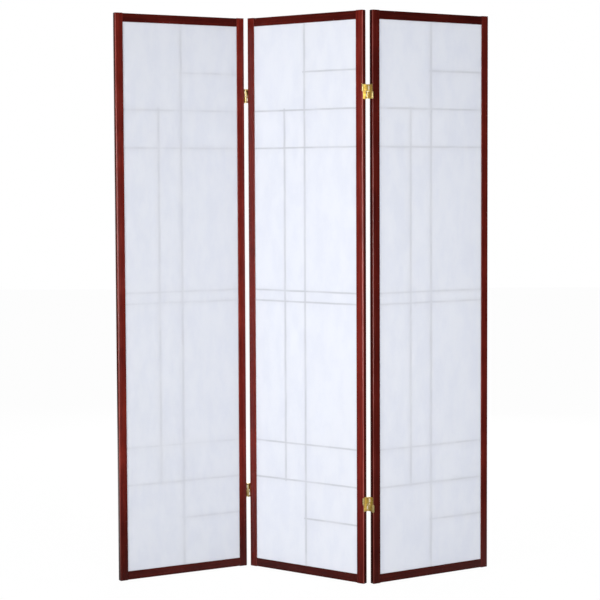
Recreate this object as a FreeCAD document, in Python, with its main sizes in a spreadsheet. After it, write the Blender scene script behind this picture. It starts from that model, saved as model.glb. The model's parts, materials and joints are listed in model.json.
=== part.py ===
import FreeCAD, Part
import os
import re
import Sketcher
from FreeCAD import Placement, Rotation, Vector

# A shoji folding screen: three paper panels in slim wooden frames, joined by two pairs of
# double-acting screen hinges and stood in a zigzag. Millimetres, +Z up. The screen stands on the
# plane z = 0 with its footprint centred on the origin and its papered front towards -Y.
#
# Every panel is drawn in its own frame: x along the panel from its left end, y from the front
# face (0) to the back face, z up from the floor. Every hinge piece is drawn in its joint's frame:
# x across the gap between two panels from its middle, y from the front faces, z from the middle
# of the hinge. Placements stand the pieces in the zigzag.

SIZES = {
    # Frames of the panels
    "screen_height": 1785.0,
    "panel_width": 444.0,
    "frame_depth": 19.0,
    "stile_width": 26.0,
    "rail_height": 27.0,
    "rail_lift": 1.0,  # the rails end this far inside the ends of the stiles
    "rail_inset": 0.5,  # the rail faces lie this far behind the stile faces
    "stile_round": 3.0,  # outer arrises of the stiles
    "edge_round": 1.5,  # inner arrises of the stiles, long arrises of the rails
    "end_bevel": 1.0,
    "lip_depth": 3.0,  # wood in front of the rabbet that takes paper and lattice
    "rabbet_width": 6.0,
    # Dowels in the corners
    "dowel_radius": 3.5,
    "dowel_length": 38.0,
    "dowel_in_stile": 18.0,
    "dowel_from_edge": 6.0,  # first dowel, from the outer edge of its rail
    "dowel_spacing": 9.5,
    "bore_end_gap": 1.0,  # empty bore past the end of a dowel or screw
    # Paper and lattice
    "paper_thickness": 0.4,
    "strip_depth": 10.0,
    "upright_width": 7.0,
    "bar_width": 5.0,
    "housing_depth": 3.0,  # how far strips run into the border strips
    "side_upright_at": 118.0,  # from the left stile to the middle of the side upright
    "short_bar_at": 181.0,  # from an end of the panel to the middle of its short bar
    "bar_spacing": 119.2,
    "pair_spacing": 34.5,  # between the two bars at half height
    "strip_overrun": 4.0,  # how far a strip that ends on another runs past it
    "glue_gap": 0.1,  # slip of glued wood in its seat
    "overcut": 2.0,  # how far cutting tools run past the wood
    # Hinges
    "hinge_from_end": 250.0,  # from the middle of a hinge to the end of the screen
    "hinge_height": 45.0,
    "half_split": 0.2,  # half the split between the top and bottom of a hinge
    "half_gap": 3.5,  # half the gap between two panels set in line
    "barrel_stand_off": 4.0,  # from a panel's face to the barrel axes
    "barrel_radius": 3.2,
    "knuckle_gap": 0.25,
    "pin_radius": 1.5,
    "pin_head_radius": 2.4,
    "pin_head_height": 0.8,
    "running_gap": 0.05,  # radial play of a pin in a barrel
    "leaf_thickness": 1.2,
    "leaf_margin": 1.0,  # from the faces of the stile to the edges of a leaf
    "strap_margin": 0.4,
    "screw_near": 6.0,  # from the middle of a hinge to its inner screws
    "screw_far": 16.0,  # and to its outer screws
    "screw_length": 16.0,
    "screw_tip": 4.0,
    "screw_radius": 1.4,
    "screw_head_radius": 2.5,
    "slot_width": 0.8,
    "slot_depth": 0.5,
    # How the screen stands
    "left_fold": 63.0,  # turn of the left panel from straight, about the front barrels
    "right_fold": 66.0,  # turn of the right panel from straight, about the back barrels
    "middle_yaw": -35.0,
}

WORKED = {
    "opening_left": "stile_width",
    "opening_right": "panel_width - stile_width",
    "opening_low": "rail_lift + rail_height",
    "opening_high": "screen_height - opening_low",
    "rabbet_left": "opening_left - rabbet_width",
    "rabbet_right": "opening_right + rabbet_width",
    "rabbet_low": "opening_low - rabbet_width",
    "rabbet_high": "opening_high + rabbet_width",
    "lattice_front": "lip_depth + paper_thickness",
    "lattice_back": "lattice_front + strip_depth",
    "lap_plane": "lattice_front + strip_depth / 2",
    "slip": "glue_gap / 2",
    "centre_upright": "panel_width / 2",
    "side_upright": "opening_left + side_upright_at",
    "top_rail_low": "screen_height - rail_lift - rail_height",
    "back_axis": "frame_depth + barrel_stand_off",
    "half_height": "hinge_height / 2",
    "stack_low": "half_split + pin_head_height",
    "stack_high": "half_height - pin_head_height",
    "knuckle": "(stack_high - stack_low) / 4",
    "leaf_face": "leaf_thickness - half_gap",
    "screw_cone": "screw_head_radius - screw_radius",
    "top_hinge": "screen_height - hinge_from_end",
    # Turn and left front corner of each panel, and the middle of the gap at each joint
    "left_yaw": "middle_yaw + left_fold",
    "right_yaw": "middle_yaw + right_fold",
    "joint_at": "panel_width + half_gap",
    "middle_x": "0 - footprint_x",
    "middle_y": "0 - footprint_y",
    "left_axis_x": "middle_x - half_gap * cos(middle_yaw) + barrel_stand_off * sin(middle_yaw)",
    "left_axis_y": "middle_y - half_gap * sin(middle_yaw) - barrel_stand_off * cos(middle_yaw)",
    "right_axis_x": "middle_x + joint_at * cos(middle_yaw) - back_axis * sin(middle_yaw)",
    "right_axis_y": "middle_y + joint_at * sin(middle_yaw) + back_axis * cos(middle_yaw)",
    "left_x": "left_axis_x - joint_at * cos(left_yaw) - barrel_stand_off * sin(left_yaw)",
    "left_y": "left_axis_y - joint_at * sin(left_yaw) + barrel_stand_off * cos(left_yaw)",
    "right_x": "right_axis_x + half_gap * cos(right_yaw) + back_axis * sin(right_yaw)",
    "right_y": "right_axis_y + half_gap * sin(right_yaw) - back_axis * cos(right_yaw)",
}

# Where the zigzag's footprint has its middle, seen from the left front corner of the middle
# panel: measured on the finished pieces below.
FOOTPRINT = {"footprint_x": 0.0, "footprint_y": 0.0}

PANELS = ("left", "middle", "right")
HINGED = {"left": ("right",), "middle": ("left", "right"), "right": ("left",)}
BARS = {
    "short_low": "short_bar_at",
    "full_low": "short_bar_at + bar_spacing",
    "second_low": "short_bar_at + 2 * bar_spacing",
    "pair_low": "(screen_height - pair_spacing) / 2",
    "pair_high": "(screen_height + pair_spacing) / 2",
    "second_high": "screen_height - short_bar_at - 2 * bar_spacing",
    "full_high": "screen_height - short_bar_at - bar_spacing",
    "short_high": "screen_height - short_bar_at",
}
SHORT_BARS = [height for name, height in BARS.items() if name.startswith("short")]
FULL_BARS = [height for name, height in BARS.items() if not name.startswith("short")]
SCREW_ROWS = ("screw_near", "screw_far", "-screw_near", "-screw_far")
HINGES = {"lower": "hinge_from_end", "upper": "top_hinge"}

doc = FreeCAD.newDocument("ShojiScreen")
sizes_sheet = doc.addObject("Spreadsheet::Sheet", "Sizes")
worked_sheet = doc.addObject("Spreadsheet::Sheet", "Worked")
parts = []


# ---------------------------------------------------------------- sheets and expressions


def formula(text):
    """The text with every size and worked value written as its cell."""

    def cell(match):
        word = match.group(0)
        if word in SIZES or word in FOOTPRINT:
            return "Sizes." + word
        return "Worked." + word if word in WORKED else word

    return re.sub(r"[a-z_]+", cell, text)


def fill_sheets():
    """Writes the sizes as numbers and the worked values as formulas, each with its alias."""
    for row, (name, value) in enumerate({**SIZES, **FOOTPRINT}.items(), start=1):
        sizes_sheet.set(f"A{row}", name)
        sizes_sheet.set(f"B{row}", str(value))
        sizes_sheet.setAlias(f"B{row}", name)
    for row, (name, text) in enumerate(WORKED.items(), start=1):
        worked_sheet.set(f"A{row}", name)
        worked_sheet.set(f"B{row}", "=" + formula(text))
        worked_sheet.setAlias(f"B{row}", name)
    doc.recompute()


def value(name):
    """The present number of a size or worked value."""
    return float(getattr(worked_sheet if name in WORKED else sizes_sheet, name))


def bind(item, target, text):
    item.setExpression(target, formula(text))


# ---------------------------------------------------------------- plain solids and booleans


def box(name, x, y, z):
    """A box from (low, high) texts along each axis."""
    item = doc.addObject("Part::Box", name)
    for side, axis, (low, high) in zip(("Length", "Width", "Height"), "xyz", (x, y, z)):
        bind(item, side, f"({high}) - ({low})")
        bind(item, f"Placement.Base.{axis}", low)
    return item


def rod(name, x, y, z, radius):
    """A cylinder along z between the two z texts."""
    item = doc.addObject("Part::Cylinder", name)
    bind(item, "Radius", radius)
    bind(item, "Height", f"({z[1]}) - ({z[0]})")
    for axis, text in zip("xyz", (x, y, z[0])):
        bind(item, f"Placement.Base.{axis}", text)
    return item


def lay_along_x(item, x, y, z):
    """Turns a solid of revolution from its z axis to the x axis and sets it at x, y, z."""
    item.Placement = Placement(Vector(), Rotation(Vector(0, 1, 0), 90))
    for axis, text in zip("xyz", (x, y, z)):
        bind(item, f"Placement.Base.{axis}", text)
    return item


def rod_along_x(name, x, y, z, radius):
    item = doc.addObject("Part::Cylinder", name)
    bind(item, "Radius", radius)
    bind(item, "Height", f"({x[1]}) - ({x[0]})")
    return lay_along_x(item, x[0], y, z)


def fuse(name, items):
    item = doc.addObject("Part::MultiFuse", name)
    item.Shapes = items
    return item


def group(name, items):
    item = doc.addObject("Part::Compound", name)
    item.Links = items
    return item


def cut(name, base, tool):
    item = doc.addObject("Part::Cut", name)
    item.Base = base
    item.Tool = tool
    return item


def stand(item, label, x, y, yaw, z="0"):
    """Makes an object a sub-part: its label, and its place in the zigzag."""
    item.Label = label
    bind(item, "Placement", f"placement(vector({x}; {y}; {z}); rotation(vector(0; 0; 1); {yaw}))")
    parts.append(item)


def stand_in_panel(item, panel, piece):
    stand(item, f"{panel}_panel_{piece}", f"{panel}_x", f"{panel}_y", f"{panel}_yaw")


def stand_at_joint(item, label, joint, panel, z="0", turned=False):
    """Sets a hinge piece at a joint, riding on one of its panels.

    A turned piece faces the other way: it is rotated half a turn about the vertical line
    through the middle of the gap."""
    across = "joint_at" if (joint, panel) in (("left", "left"), ("right", "middle")) else "-half_gap"
    yaw = f"{panel}_yaw"
    x = f"{panel}_x + ({across}) * cos({yaw})"
    y = f"{panel}_y + ({across}) * sin({yaw})"
    if turned:
        x += f" - frame_depth * sin({yaw})"
        y += f" + frame_depth * cos({yaw})"
        yaw += " + 180"
    stand(item, label, x, y, yaw, z)


# ---------------------------------------------------------------- sketches and bodies


def sketch_in(body, plane, name, offset="0"):
    """A sketch on one of the body's origin planes, moved along the plane's normal."""
    sketch = body.newObject("Sketcher::SketchObject", name)
    origin_plane = next(item for item in body.Origin.OriginFeatures if item.Role == plane)
    sketch.AttachmentSupport = [(origin_plane, "")]
    sketch.MapMode = "FlatFace"
    bind(sketch, "AttachmentOffset.Base.z", offset)
    return sketch


def dimension(sketch, kind, geometry, point, text):
    """Dimensions a point from the sketch's origin along one of its axes."""
    index = sketch.addConstraint(Sketcher.Constraint(kind, -1, 1, geometry, point, 1.0))
    bind(sketch, f"Constraints[{index}]", text)


def draw_rectangle(sketch, across, up):
    """A rectangle from (low, high) texts, its two far corners dimensioned from the origin."""
    corners = [Vector(1, 1, 0), Vector(2, 1, 0), Vector(2, 2, 0), Vector(1, 2, 0)]
    for index, corner in enumerate(corners):
        sketch.addGeometry(Part.LineSegment(corner, corners[(index + 1) % 4]), False)
    for index in range(4):
        sketch.addConstraint(Sketcher.Constraint("Coincident", index, 2, (index + 1) % 4, 1))
        sketch.addConstraint(Sketcher.Constraint("Vertical" if index % 2 else "Horizontal", index))
    for geometry, side in ((0, 0), (2, 1)):
        dimension(sketch, "DistanceX", geometry, 1, across[side])
        dimension(sketch, "DistanceY", geometry, 1, up[side])


def draw_circles(sketch, centres, radius):
    """Circles of one radius about centres given as (across, up) texts."""
    for index, (across, up) in enumerate(centres):
        circle = Part.Circle(Vector(10 * (index + 1), 10, 0), Vector(0, 0, 1), 1.0)
        sketch.addGeometry(circle, False)
        dimension(sketch, "DistanceX", index, 3, across)
        dimension(sketch, "DistanceY", index, 3, up)
        size = sketch.addConstraint(Sketcher.Constraint("Radius", index, 1.0))
        bind(sketch, f"Constraints[{size}]", radius)


def pad(body, sketch, length):
    feature = body.newObject("PartDesign::Pad", "Pad")
    feature.Profile = sketch
    bind(feature, "Length", length)
    doc.recompute()
    return feature


def pocket(body, sketch, depth, along_normal=False):
    """Cuts the sketch into the body, all the way where depth is None. Stops where nothing went."""
    before = body.Shape.Volume
    feature = body.newObject("PartDesign::Pocket", "Pocket")
    feature.Profile = sketch
    feature.Reversed = along_normal
    if depth is None:
        feature.Type = "ThroughAll"
    else:
        bind(feature, "Length", depth)
    doc.recompute()
    if not body.Shape.Volume < before:
        raise RuntimeError(f"{body.Name}: {sketch.Label} cut nothing")
    return feature


def dress(body, kind, base, size_name, text, wanted):
    """A fillet or chamfer on the edges of the base feature whose bounding box is wanted."""
    feature = body.newObject(f"PartDesign::{kind}", kind)
    edges = enumerate(base.Shape.Edges, start=1)
    feature.Base = (base, [f"Edge{index}" for index, edge in edges if wanted(edge.BoundBox)])
    bind(feature, size_name, text)
    doc.recompute()
    return feature


def near(first, second):
    return abs(first - second) < 1e-4


# ---------------------------------------------------------------- frame of a panel

DOWEL_HEIGHTS = (
    "rail_lift + dowel_from_edge",
    "rail_lift + dowel_from_edge + dowel_spacing",
    "screen_height - rail_lift - dowel_from_edge",
    "screen_height - rail_lift - dowel_from_edge - dowel_spacing",
)
HALF_DEPTH = "frame_depth / 2"


def make_stile(panel, side):
    """A stile with rounded arrises and bevelled ends, rabbeted between the rails, bored for the
    corner dowels and, where the panel is hinged, for the hinge screws."""
    at_left = side == "left"
    body = doc.addObject("PartDesign::Body", f"{panel}_panel_{side}_stile")
    across = ("0", "stile_width") if at_left else ("opening_right", "panel_width")
    inner_edge = "opening_left" if at_left else "opening_right"
    outer_edge = across[0] if at_left else across[1]
    section = sketch_in(body, "XY_Plane", "Section")
    draw_rectangle(section, across, ("0", "frame_depth"))
    shaft = pad(body, section, "screen_height")
    inner_x = value(inner_edge)
    upright = lambda bounds: near(bounds.XLength, 0) and near(bounds.YLength, 0)
    outer = dress(
        body, "Fillet", shaft, "Radius", "stile_round",
        lambda bounds: upright(bounds) and not near(bounds.XMin, inner_x),
    )
    inner = dress(
        body, "Fillet", outer, "Radius", "edge_round",
        lambda bounds: upright(bounds) and near(bounds.XMin, inner_x),
    )
    dress(body, "Chamfer", inner, "Size", "end_bevel", lambda bounds: near(bounds.ZLength, 0))

    rabbet = sketch_in(body, "XZ_Plane", "Rabbet", "-lip_depth")
    reach = (
        ("rabbet_left", "opening_left + overcut")
        if at_left
        else ("opening_right - overcut", "rabbet_right")
    )
    draw_rectangle(rabbet, reach, ("rabbet_low", "rabbet_high"))
    pocket(body, rabbet, None)

    bores = sketch_in(body, "YZ_Plane", "DowelBores", inner_edge)
    draw_circles(bores, [(HALF_DEPTH, height) for height in DOWEL_HEIGHTS], "dowel_radius + slip")
    pocket(body, bores, "dowel_in_stile + bore_end_gap", along_normal=not at_left)

    if side in HINGED[panel]:
        pilots = sketch_in(body, "YZ_Plane", "ScrewPilots", outer_edge)
        centres = [(HALF_DEPTH, f"{hinge} + ({row})") for hinge in HINGES.values() for row in SCREW_ROWS]
        draw_circles(pilots, centres, "screw_radius + slip")
        pocket(body, pilots, "screw_length - leaf_thickness + bore_end_gap", along_normal=at_left)
    stand_in_panel(body, panel, f"{side}_stile")


def make_rail(panel, level):
    """A rail between the stiles, rabbeted along its inner edge and bored at both ends."""
    at_top = level == "top"
    body = doc.addObject("PartDesign::Body", f"{panel}_panel_{level}_rail")
    low = "top_rail_low" if at_top else "rail_lift"
    section = sketch_in(body, "YZ_Plane", "Section", "opening_left")
    draw_rectangle(
        section, ("rail_inset", "frame_depth - rail_inset"), (low, f"{low} + rail_height")
    )
    beam = pad(body, section, "opening_right - opening_left")
    level_edge = lambda bounds: near(bounds.YLength, 0) and near(bounds.ZLength, 0)
    dress(body, "Fillet", beam, "Radius", "edge_round", level_edge)

    rabbet = sketch_in(body, "XZ_Plane", "Rabbet", "-lip_depth")
    reach = (
        ("opening_high - overcut", "rabbet_high")
        if at_top
        else ("rabbet_low", "opening_low + overcut")
    )
    draw_rectangle(rabbet, ("opening_left - overcut", "opening_right + overcut"), reach)
    pocket(body, rabbet, None)

    heights = DOWEL_HEIGHTS[2:] if at_top else DOWEL_HEIGHTS[:2]
    for end, plane, along_normal in (("Left", "opening_left", True), ("Right", "opening_right", False)):
        bores = sketch_in(body, "YZ_Plane", f"{end}Bores", plane)
        draw_circles(bores, [(HALF_DEPTH, height) for height in heights], "dowel_radius + slip")
        pocket(body, bores, "dowel_length - dowel_in_stile + bore_end_gap", along_normal)
    stand_in_panel(body, panel, f"{level}_rail")


def make_dowels(panel):
    """Eight dowels, two through each corner joint."""
    spans = (
        ("opening_left - dowel_in_stile", "opening_left - dowel_in_stile + dowel_length"),
        ("opening_right + dowel_in_stile - dowel_length", "opening_right + dowel_in_stile"),
    )
    dowels = [
        rod_along_x(f"{panel}_dowel", span, HALF_DEPTH, height, "dowel_radius")
        for span in spans
        for height in DOWEL_HEIGHTS
    ]
    stand_in_panel(group(f"{panel}_panel_dowels", dowels), panel, "dowels")


# ---------------------------------------------------------------- paper and lattice

SEAT_ACROSS = ("rabbet_left + glue_gap", "rabbet_right - glue_gap")
SEAT_UP = ("rabbet_low + glue_gap", "rabbet_high - glue_gap")
LATTICE_DEPTH = ("lattice_front", "lattice_back")
BEYOND_DEPTH = ("lattice_front - overcut", "lattice_back + overcut")


def about(middle, width, slack="0"):
    """The (low, high) texts of a width about a middle, with slack on both sides."""
    half = f"({width}) / 2 + {slack}"
    return f"({middle}) - ({half})", f"({middle}) + ({half})"


def make_paper(panel):
    """The paper sheet, behind the front lips of the frame."""
    sheet = box("sheet", SEAT_ACROSS, ("lip_depth", "lattice_front"), SEAT_UP)
    stand_in_panel(group(f"{panel}_panel_paper", [sheet]), panel, "paper")


def make_border(panel):
    """Four border strips that fill the rabbet behind the paper, housed for the lattice ends."""
    strips = [
        box("border_left", (SEAT_ACROSS[0], "opening_left"), LATTICE_DEPTH, SEAT_UP),
        box("border_right", ("opening_right", SEAT_ACROSS[1]), LATTICE_DEPTH, SEAT_UP),
        box("border_low", ("opening_left", "opening_right"), LATTICE_DEPTH, (SEAT_UP[0], "opening_low")),
        box("border_high", ("opening_left", "opening_right"), LATTICE_DEPTH, ("opening_high", SEAT_UP[1])),
    ]
    left_housing = ("opening_left - housing_depth", "opening_left + overcut")
    right_housing = ("opening_right - overcut", "opening_right + housing_depth")
    housings = [
        box("bar_housing", left_housing, BEYOND_DEPTH, about(height, "bar_width", "slip"))
        for height in FULL_BARS
    ]
    housings += [
        box("bar_housing", right_housing, BEYOND_DEPTH, about(height, "bar_width", "slip"))
        for height in BARS.values()
    ]
    upright_ends = (
        ("opening_low - housing_depth", "opening_low + overcut"),
        ("opening_high - overcut", "opening_high + housing_depth"),
    )
    housings += [
        box("upright_housing", about("centre_upright", "upright_width", "slip"), BEYOND_DEPTH, up)
        for up in upright_ends
    ]
    border = cut(f"{panel}_panel_lattice_border", group("border", strips), group("housings", housings))
    stand_in_panel(border, panel, "lattice_border")


def make_upright(panel, name, middle, up, crossings):
    """An upright strip, half lapped on its paper side for every bar that it crosses."""
    strip = box(f"{name}_strip", about(middle, "upright_width"), LATTICE_DEPTH, up)
    lap_depth = ("lattice_front - overcut", "lap_plane + slip")
    across = about(middle, "upright_width", "overcut")
    laps = [box("lap", across, lap_depth, about(height, "bar_width", "slip")) for height in crossings]
    upright = cut(f"{panel}_panel_{name}", strip, group("laps", laps))
    stand_in_panel(upright, panel, name)


def make_bars(panel, name, across, heights, crossed):
    """Level bars, half lapped on their back for the uprights that cross them."""
    bars = [box("bar", across, LATTICE_DEPTH, about(height, "bar_width")) for height in heights]
    lap_depth = ("lap_plane - slip", "lattice_back + overcut")
    laps = [
        box("lap", about(middle, "upright_width", "slip"), lap_depth, ("0", "screen_height"))
        for middle in crossed
    ]
    lattice_bars = cut(f"{panel}_panel_{name}", group("bars", bars), group("laps", laps))
    stand_in_panel(lattice_bars, panel, name)


def make_lattice(panel):
    """The border, the two uprights and the eight level bars behind the paper."""
    make_border(panel)
    full_up = (
        "opening_low - housing_depth + glue_gap",
        "opening_high + housing_depth - glue_gap",
    )
    make_upright(panel, "centre_upright", "centre_upright", full_up, BARS.values())
    side_up = (
        f"{BARS['full_low']} - bar_width / 2 - strip_overrun",
        f"{BARS['full_high']} + bar_width / 2 + strip_overrun",
    )
    make_upright(panel, "side_upright", "side_upright", side_up, FULL_BARS)
    right_end = "opening_right + housing_depth - glue_gap"
    left_end = "opening_left - housing_depth + glue_gap"
    make_bars(
        panel, "full_bars", (left_end, right_end), FULL_BARS, ("side_upright", "centre_upright")
    )
    short_start = "centre_upright - upright_width / 2 - strip_overrun"
    make_bars(panel, "short_bars", (short_start, right_end), SHORT_BARS, ("centre_upright",))


# ---------------------------------------------------------------- hinges

FRONT_AXIS = "-barrel_stand_off"
BACK_AXIS = "back_axis"
LEAF_KNUCKLES = (("stack_low", "stack_low + knuckle"), ("stack_high - knuckle", "stack_high"))
STRAP_KNUCKLE = ("stack_low + knuckle + knuckle_gap", "stack_high - knuckle - knuckle_gap")
UPPER_HALF = ("stack_low", "stack_high")


def mirrored(span):
    """The same span in the bottom half of a hinge."""
    return f"0 - ({span[1]})", f"0 - ({span[0]})"


def barrel_bores():
    """Bores along both barrel axes, over the whole height of a hinge."""
    height = ("-half_height - overcut", "half_height + overcut")
    return [rod("bore", "0", axis, height, "pin_radius + running_gap") for axis in (FRONT_AXIS, BACK_AXIS)]


def countersinks():
    """The screw holes of a leaf, coned for flush heads."""
    holes = []
    for row in SCREW_ROWS:
        through = ("-half_gap - overcut", "leaf_face + overcut")
        holes.append(rod_along_x("hole", through, HALF_DEPTH, row, "screw_radius + slip"))
        cone = doc.addObject("Part::Cone", "countersink")
        bind(cone, "Radius1", "screw_radius + slip")
        bind(cone, "Radius2", "screw_head_radius + slip")
        bind(cone, "Height", "screw_cone")
        holes.append(lay_along_x(cone, "leaf_face - screw_cone", HALF_DEPTH, row))
    return holes


def make_leaf(label, joint, panel, hinge, turned):
    """A leaf on the edge of a stile, with the front barrel at its top and the back barrel at its
    bottom. Turned, it is the leaf of the panel on the other side of the joint."""
    sheet = ("-half_gap", "leaf_face")
    half_height = ("-half_height", "half_height")
    pieces = [box("plate", sheet, ("leaf_margin", "frame_depth - leaf_margin"), half_height)]
    for span in LEAF_KNUCKLES:
        pieces.append(box("front_tab", sheet, (FRONT_AXIS, HALF_DEPTH), span))
        pieces.append(rod("front_barrel", "0", FRONT_AXIS, span, "barrel_radius"))
        pieces.append(box("back_tab", sheet, (HALF_DEPTH, BACK_AXIS), mirrored(span)))
        pieces.append(rod("back_barrel", "0", BACK_AXIS, mirrored(span), "barrel_radius"))
    leaf = cut(label, fuse("blank", pieces), group("cutters", barrel_bores() + countersinks()))
    stand_at_joint(leaf, label, joint, panel, HINGES[hinge], turned)


def make_strap(label, joint, panel, hinge, half):
    """A strap that crosses the gap from the front barrel of one leaf to the back barrel of the
    other, in the top or the bottom half of a hinge."""
    place = mirrored if half == "bottom" else tuple
    sheet = about("0", "leaf_thickness")
    pieces = [
        box("web", sheet, ("strap_margin", "frame_depth - strap_margin"), place(UPPER_HALF)),
        box("tongue", sheet, (FRONT_AXIS, BACK_AXIS), place(STRAP_KNUCKLE)),
        rod("front_barrel", "0", FRONT_AXIS, place(STRAP_KNUCKLE), "barrel_radius"),
        rod("back_barrel", "0", BACK_AXIS, place(STRAP_KNUCKLE), "barrel_radius"),
    ]
    strap = cut(label, fuse("blank", pieces), group("cutters", barrel_bores()))
    stand_at_joint(strap, label, joint, panel, HINGES[hinge])


def make_pins(label, joint, panel, half):
    """The headed pins at both ends of the straps in one half of the joint's two hinges."""
    place = mirrored if half == "bottom" else tuple
    pins = []
    for height in HINGES.values():
        for axis in (FRONT_AXIS, BACK_AXIS):
            spans = (
                (UPPER_HALF, "pin_radius"),
                (("half_split", "stack_low"), "pin_head_radius"),
                (("stack_high", "half_height"), "pin_head_radius"),
            )
            rods = []
            for span, radius in spans:
                low, high = place(span)
                rods.append(rod("pin", "0", axis, (f"{height} + ({low})", f"{height} + ({high})"), radius))
            pins.append(fuse("headed_pin", rods))
    stand_at_joint(group(label, pins), label, joint, panel)


def make_screws(label, joint, panel, turned):
    """The countersunk slotted screws of a panel's leaves at one joint."""
    screws = []
    slots = []
    for height in HINGES.values():
        for row in SCREW_ROWS:
            level = f"{height} + ({row})"
            head = doc.addObject("Part::Cone", "head")
            bind(head, "Radius1", "screw_radius")
            bind(head, "Radius2", "screw_head_radius")
            bind(head, "Height", "screw_cone")
            lay_along_x(head, "leaf_face - screw_cone", HALF_DEPTH, level)
            shank_span = ("leaf_face - screw_length + screw_tip", "leaf_face - screw_cone")
            shank = rod_along_x("shank", shank_span, HALF_DEPTH, level, "screw_radius")
            tip = doc.addObject("Part::Cone", "tip")
            tip.Radius1 = 0
            bind(tip, "Radius2", "screw_radius")
            bind(tip, "Height", "screw_tip")
            lay_along_x(tip, "leaf_face - screw_length", HALF_DEPTH, level)
            screws.append(fuse("screw", [head, shank, tip]))
            slot_sides = about(HALF_DEPTH, "2 * screw_head_radius", "slot_width")
            slot_depth = ("leaf_face - slot_depth", "leaf_face + overcut")
            slots.append(box("slot", slot_depth, slot_sides, about(level, "slot_width")))
    slotted = cut(label, group("screws", screws), group("slots", slots))
    stand_at_joint(slotted, label, joint, panel, turned=turned)


# The left joint folds about its front barrels and the right joint about its back barrels, so
# each strap rides on the panel whose inactive barrel it holds.
STRAP_RIDES = {
    ("left", "top"): "middle",
    ("left", "bottom"): "left",
    ("right", "top"): "middle",
    ("right", "bottom"): "right",
}
SIDES = {"left": ("left", "middle"), "right": ("middle", "right")}


def make_joint(joint):
    """Two hinges, their pins and their screws, between the two panels of a joint."""
    left_panel, right_panel = SIDES[joint]
    for hinge in HINGES:
        name = f"{joint}_joint_{hinge}_hinge"
        make_leaf(f"{name}_left_leaf", joint, left_panel, hinge, turned=False)
        make_leaf(f"{name}_right_leaf", joint, right_panel, hinge, turned=True)
        for half in ("top", "bottom"):
            make_strap(f"{name}_{half}_strap", joint, STRAP_RIDES[joint, half], hinge, half)
    for half in ("top", "bottom"):
        make_pins(f"{joint}_joint_{half}_pins", joint, STRAP_RIDES[joint, half], half)
    make_screws(f"{joint}_joint_left_screws", joint, left_panel, turned=False)
    make_screws(f"{joint}_joint_right_screws", joint, right_panel, turned=True)


# ---------------------------------------------------------------- the whole screen


def whole_bounds():
    """The box around every sub-part."""
    bounds = FreeCAD.BoundBox()
    for item in parts:
        bounds.add(item.Shape.optimalBoundingBox(False))
    return bounds


def centre_footprint():
    """Moves the middle of the footprint's box to the origin."""
    bounds = whole_bounds()
    sizes_sheet.set(sizes_sheet.getCellFromAlias("footprint_x"), repr(bounds.Center.x))
    sizes_sheet.set(sizes_sheet.getCellFromAlias("footprint_y"), repr(bounds.Center.y))
    doc.recompute()


def check_document():
    """Stops unless every object is sound and every sub-part is a valid shape of solids."""
    for item in doc.Objects:
        if {"Invalid", "Error"} & set(item.State):
            raise RuntimeError(f"{item.Name} ({item.Label}) failed: {item.State}")
    for item in parts:
        shape = item.Shape
        if shape.isNull() or not shape.isValid() or not shape.Solids:
            raise RuntimeError(f"{item.Label} has no valid solid")


fill_sheets()
for panel_name in PANELS:
    for side_name in ("left", "right"):
        make_stile(panel_name, side_name)
    for level_name in ("top", "bottom"):
        make_rail(panel_name, level_name)
    make_dowels(panel_name)
    make_paper(panel_name)
    make_lattice(panel_name)
for joint_name in SIDES:
    make_joint(joint_name)
doc.recompute()
centre_footprint()
check_document()

os.makedirs("parts", exist_ok=True)
for part in parts:
    part.Shape.exportStep(f"parts/{part.Label}.step")

screen = whole_bounds()
print(f"{len(parts)} sub-parts, {sum(len(part.Shape.Solids) for part in parts)} solids")
print(f"box {screen.XMin:.3f} {screen.YMin:.3f} {screen.ZMin:.3f} to "
      f"{screen.XMax:.3f} {screen.YMax:.3f} {screen.ZMax:.3f}")
for joint_name in SIDES:
    print(f"{joint_name} joint axis at x {value(joint_name + '_axis_x'):.4f} "
          f"y {value(joint_name + '_axis_y'):.4f}")
for panel_name in PANELS:
    print(f"{panel_name} panel corner at x {value(panel_name + '_x'):.4f} "
          f"y {value(panel_name + '_y'):.4f}, turned {value(panel_name + '_yaw'):.2f}")
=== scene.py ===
"""A shoji folding screen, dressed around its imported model.

Three panels of satin cherry lacquer and paper stand in a zigzag on double-acting brass hinges.
Every shape is worked out in its own panel's frame, in metres: u along the panel from its left end,
v from its front face towards its back, w up from the floor. A Stance sets it in the row frame.
"""

import json
import logging
import math
from collections.abc import Sequence
from dataclasses import dataclass, field
from enum import Enum

import bpy
import numpy as np
from mathutils import Matrix, Vector


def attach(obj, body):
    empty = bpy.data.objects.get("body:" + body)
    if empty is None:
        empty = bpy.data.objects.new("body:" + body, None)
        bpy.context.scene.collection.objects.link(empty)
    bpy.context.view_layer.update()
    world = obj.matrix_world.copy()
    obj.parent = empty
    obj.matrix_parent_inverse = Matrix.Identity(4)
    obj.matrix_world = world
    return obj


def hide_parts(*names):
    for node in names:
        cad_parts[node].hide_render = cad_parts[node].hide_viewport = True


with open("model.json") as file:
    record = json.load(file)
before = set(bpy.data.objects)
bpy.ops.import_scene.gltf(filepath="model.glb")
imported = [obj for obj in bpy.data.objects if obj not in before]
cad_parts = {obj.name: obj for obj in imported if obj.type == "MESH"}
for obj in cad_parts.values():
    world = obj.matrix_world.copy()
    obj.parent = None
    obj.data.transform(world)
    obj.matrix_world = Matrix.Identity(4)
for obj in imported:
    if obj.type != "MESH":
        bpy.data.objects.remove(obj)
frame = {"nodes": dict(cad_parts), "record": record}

log = logging.getLogger("shoji_screen")

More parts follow.
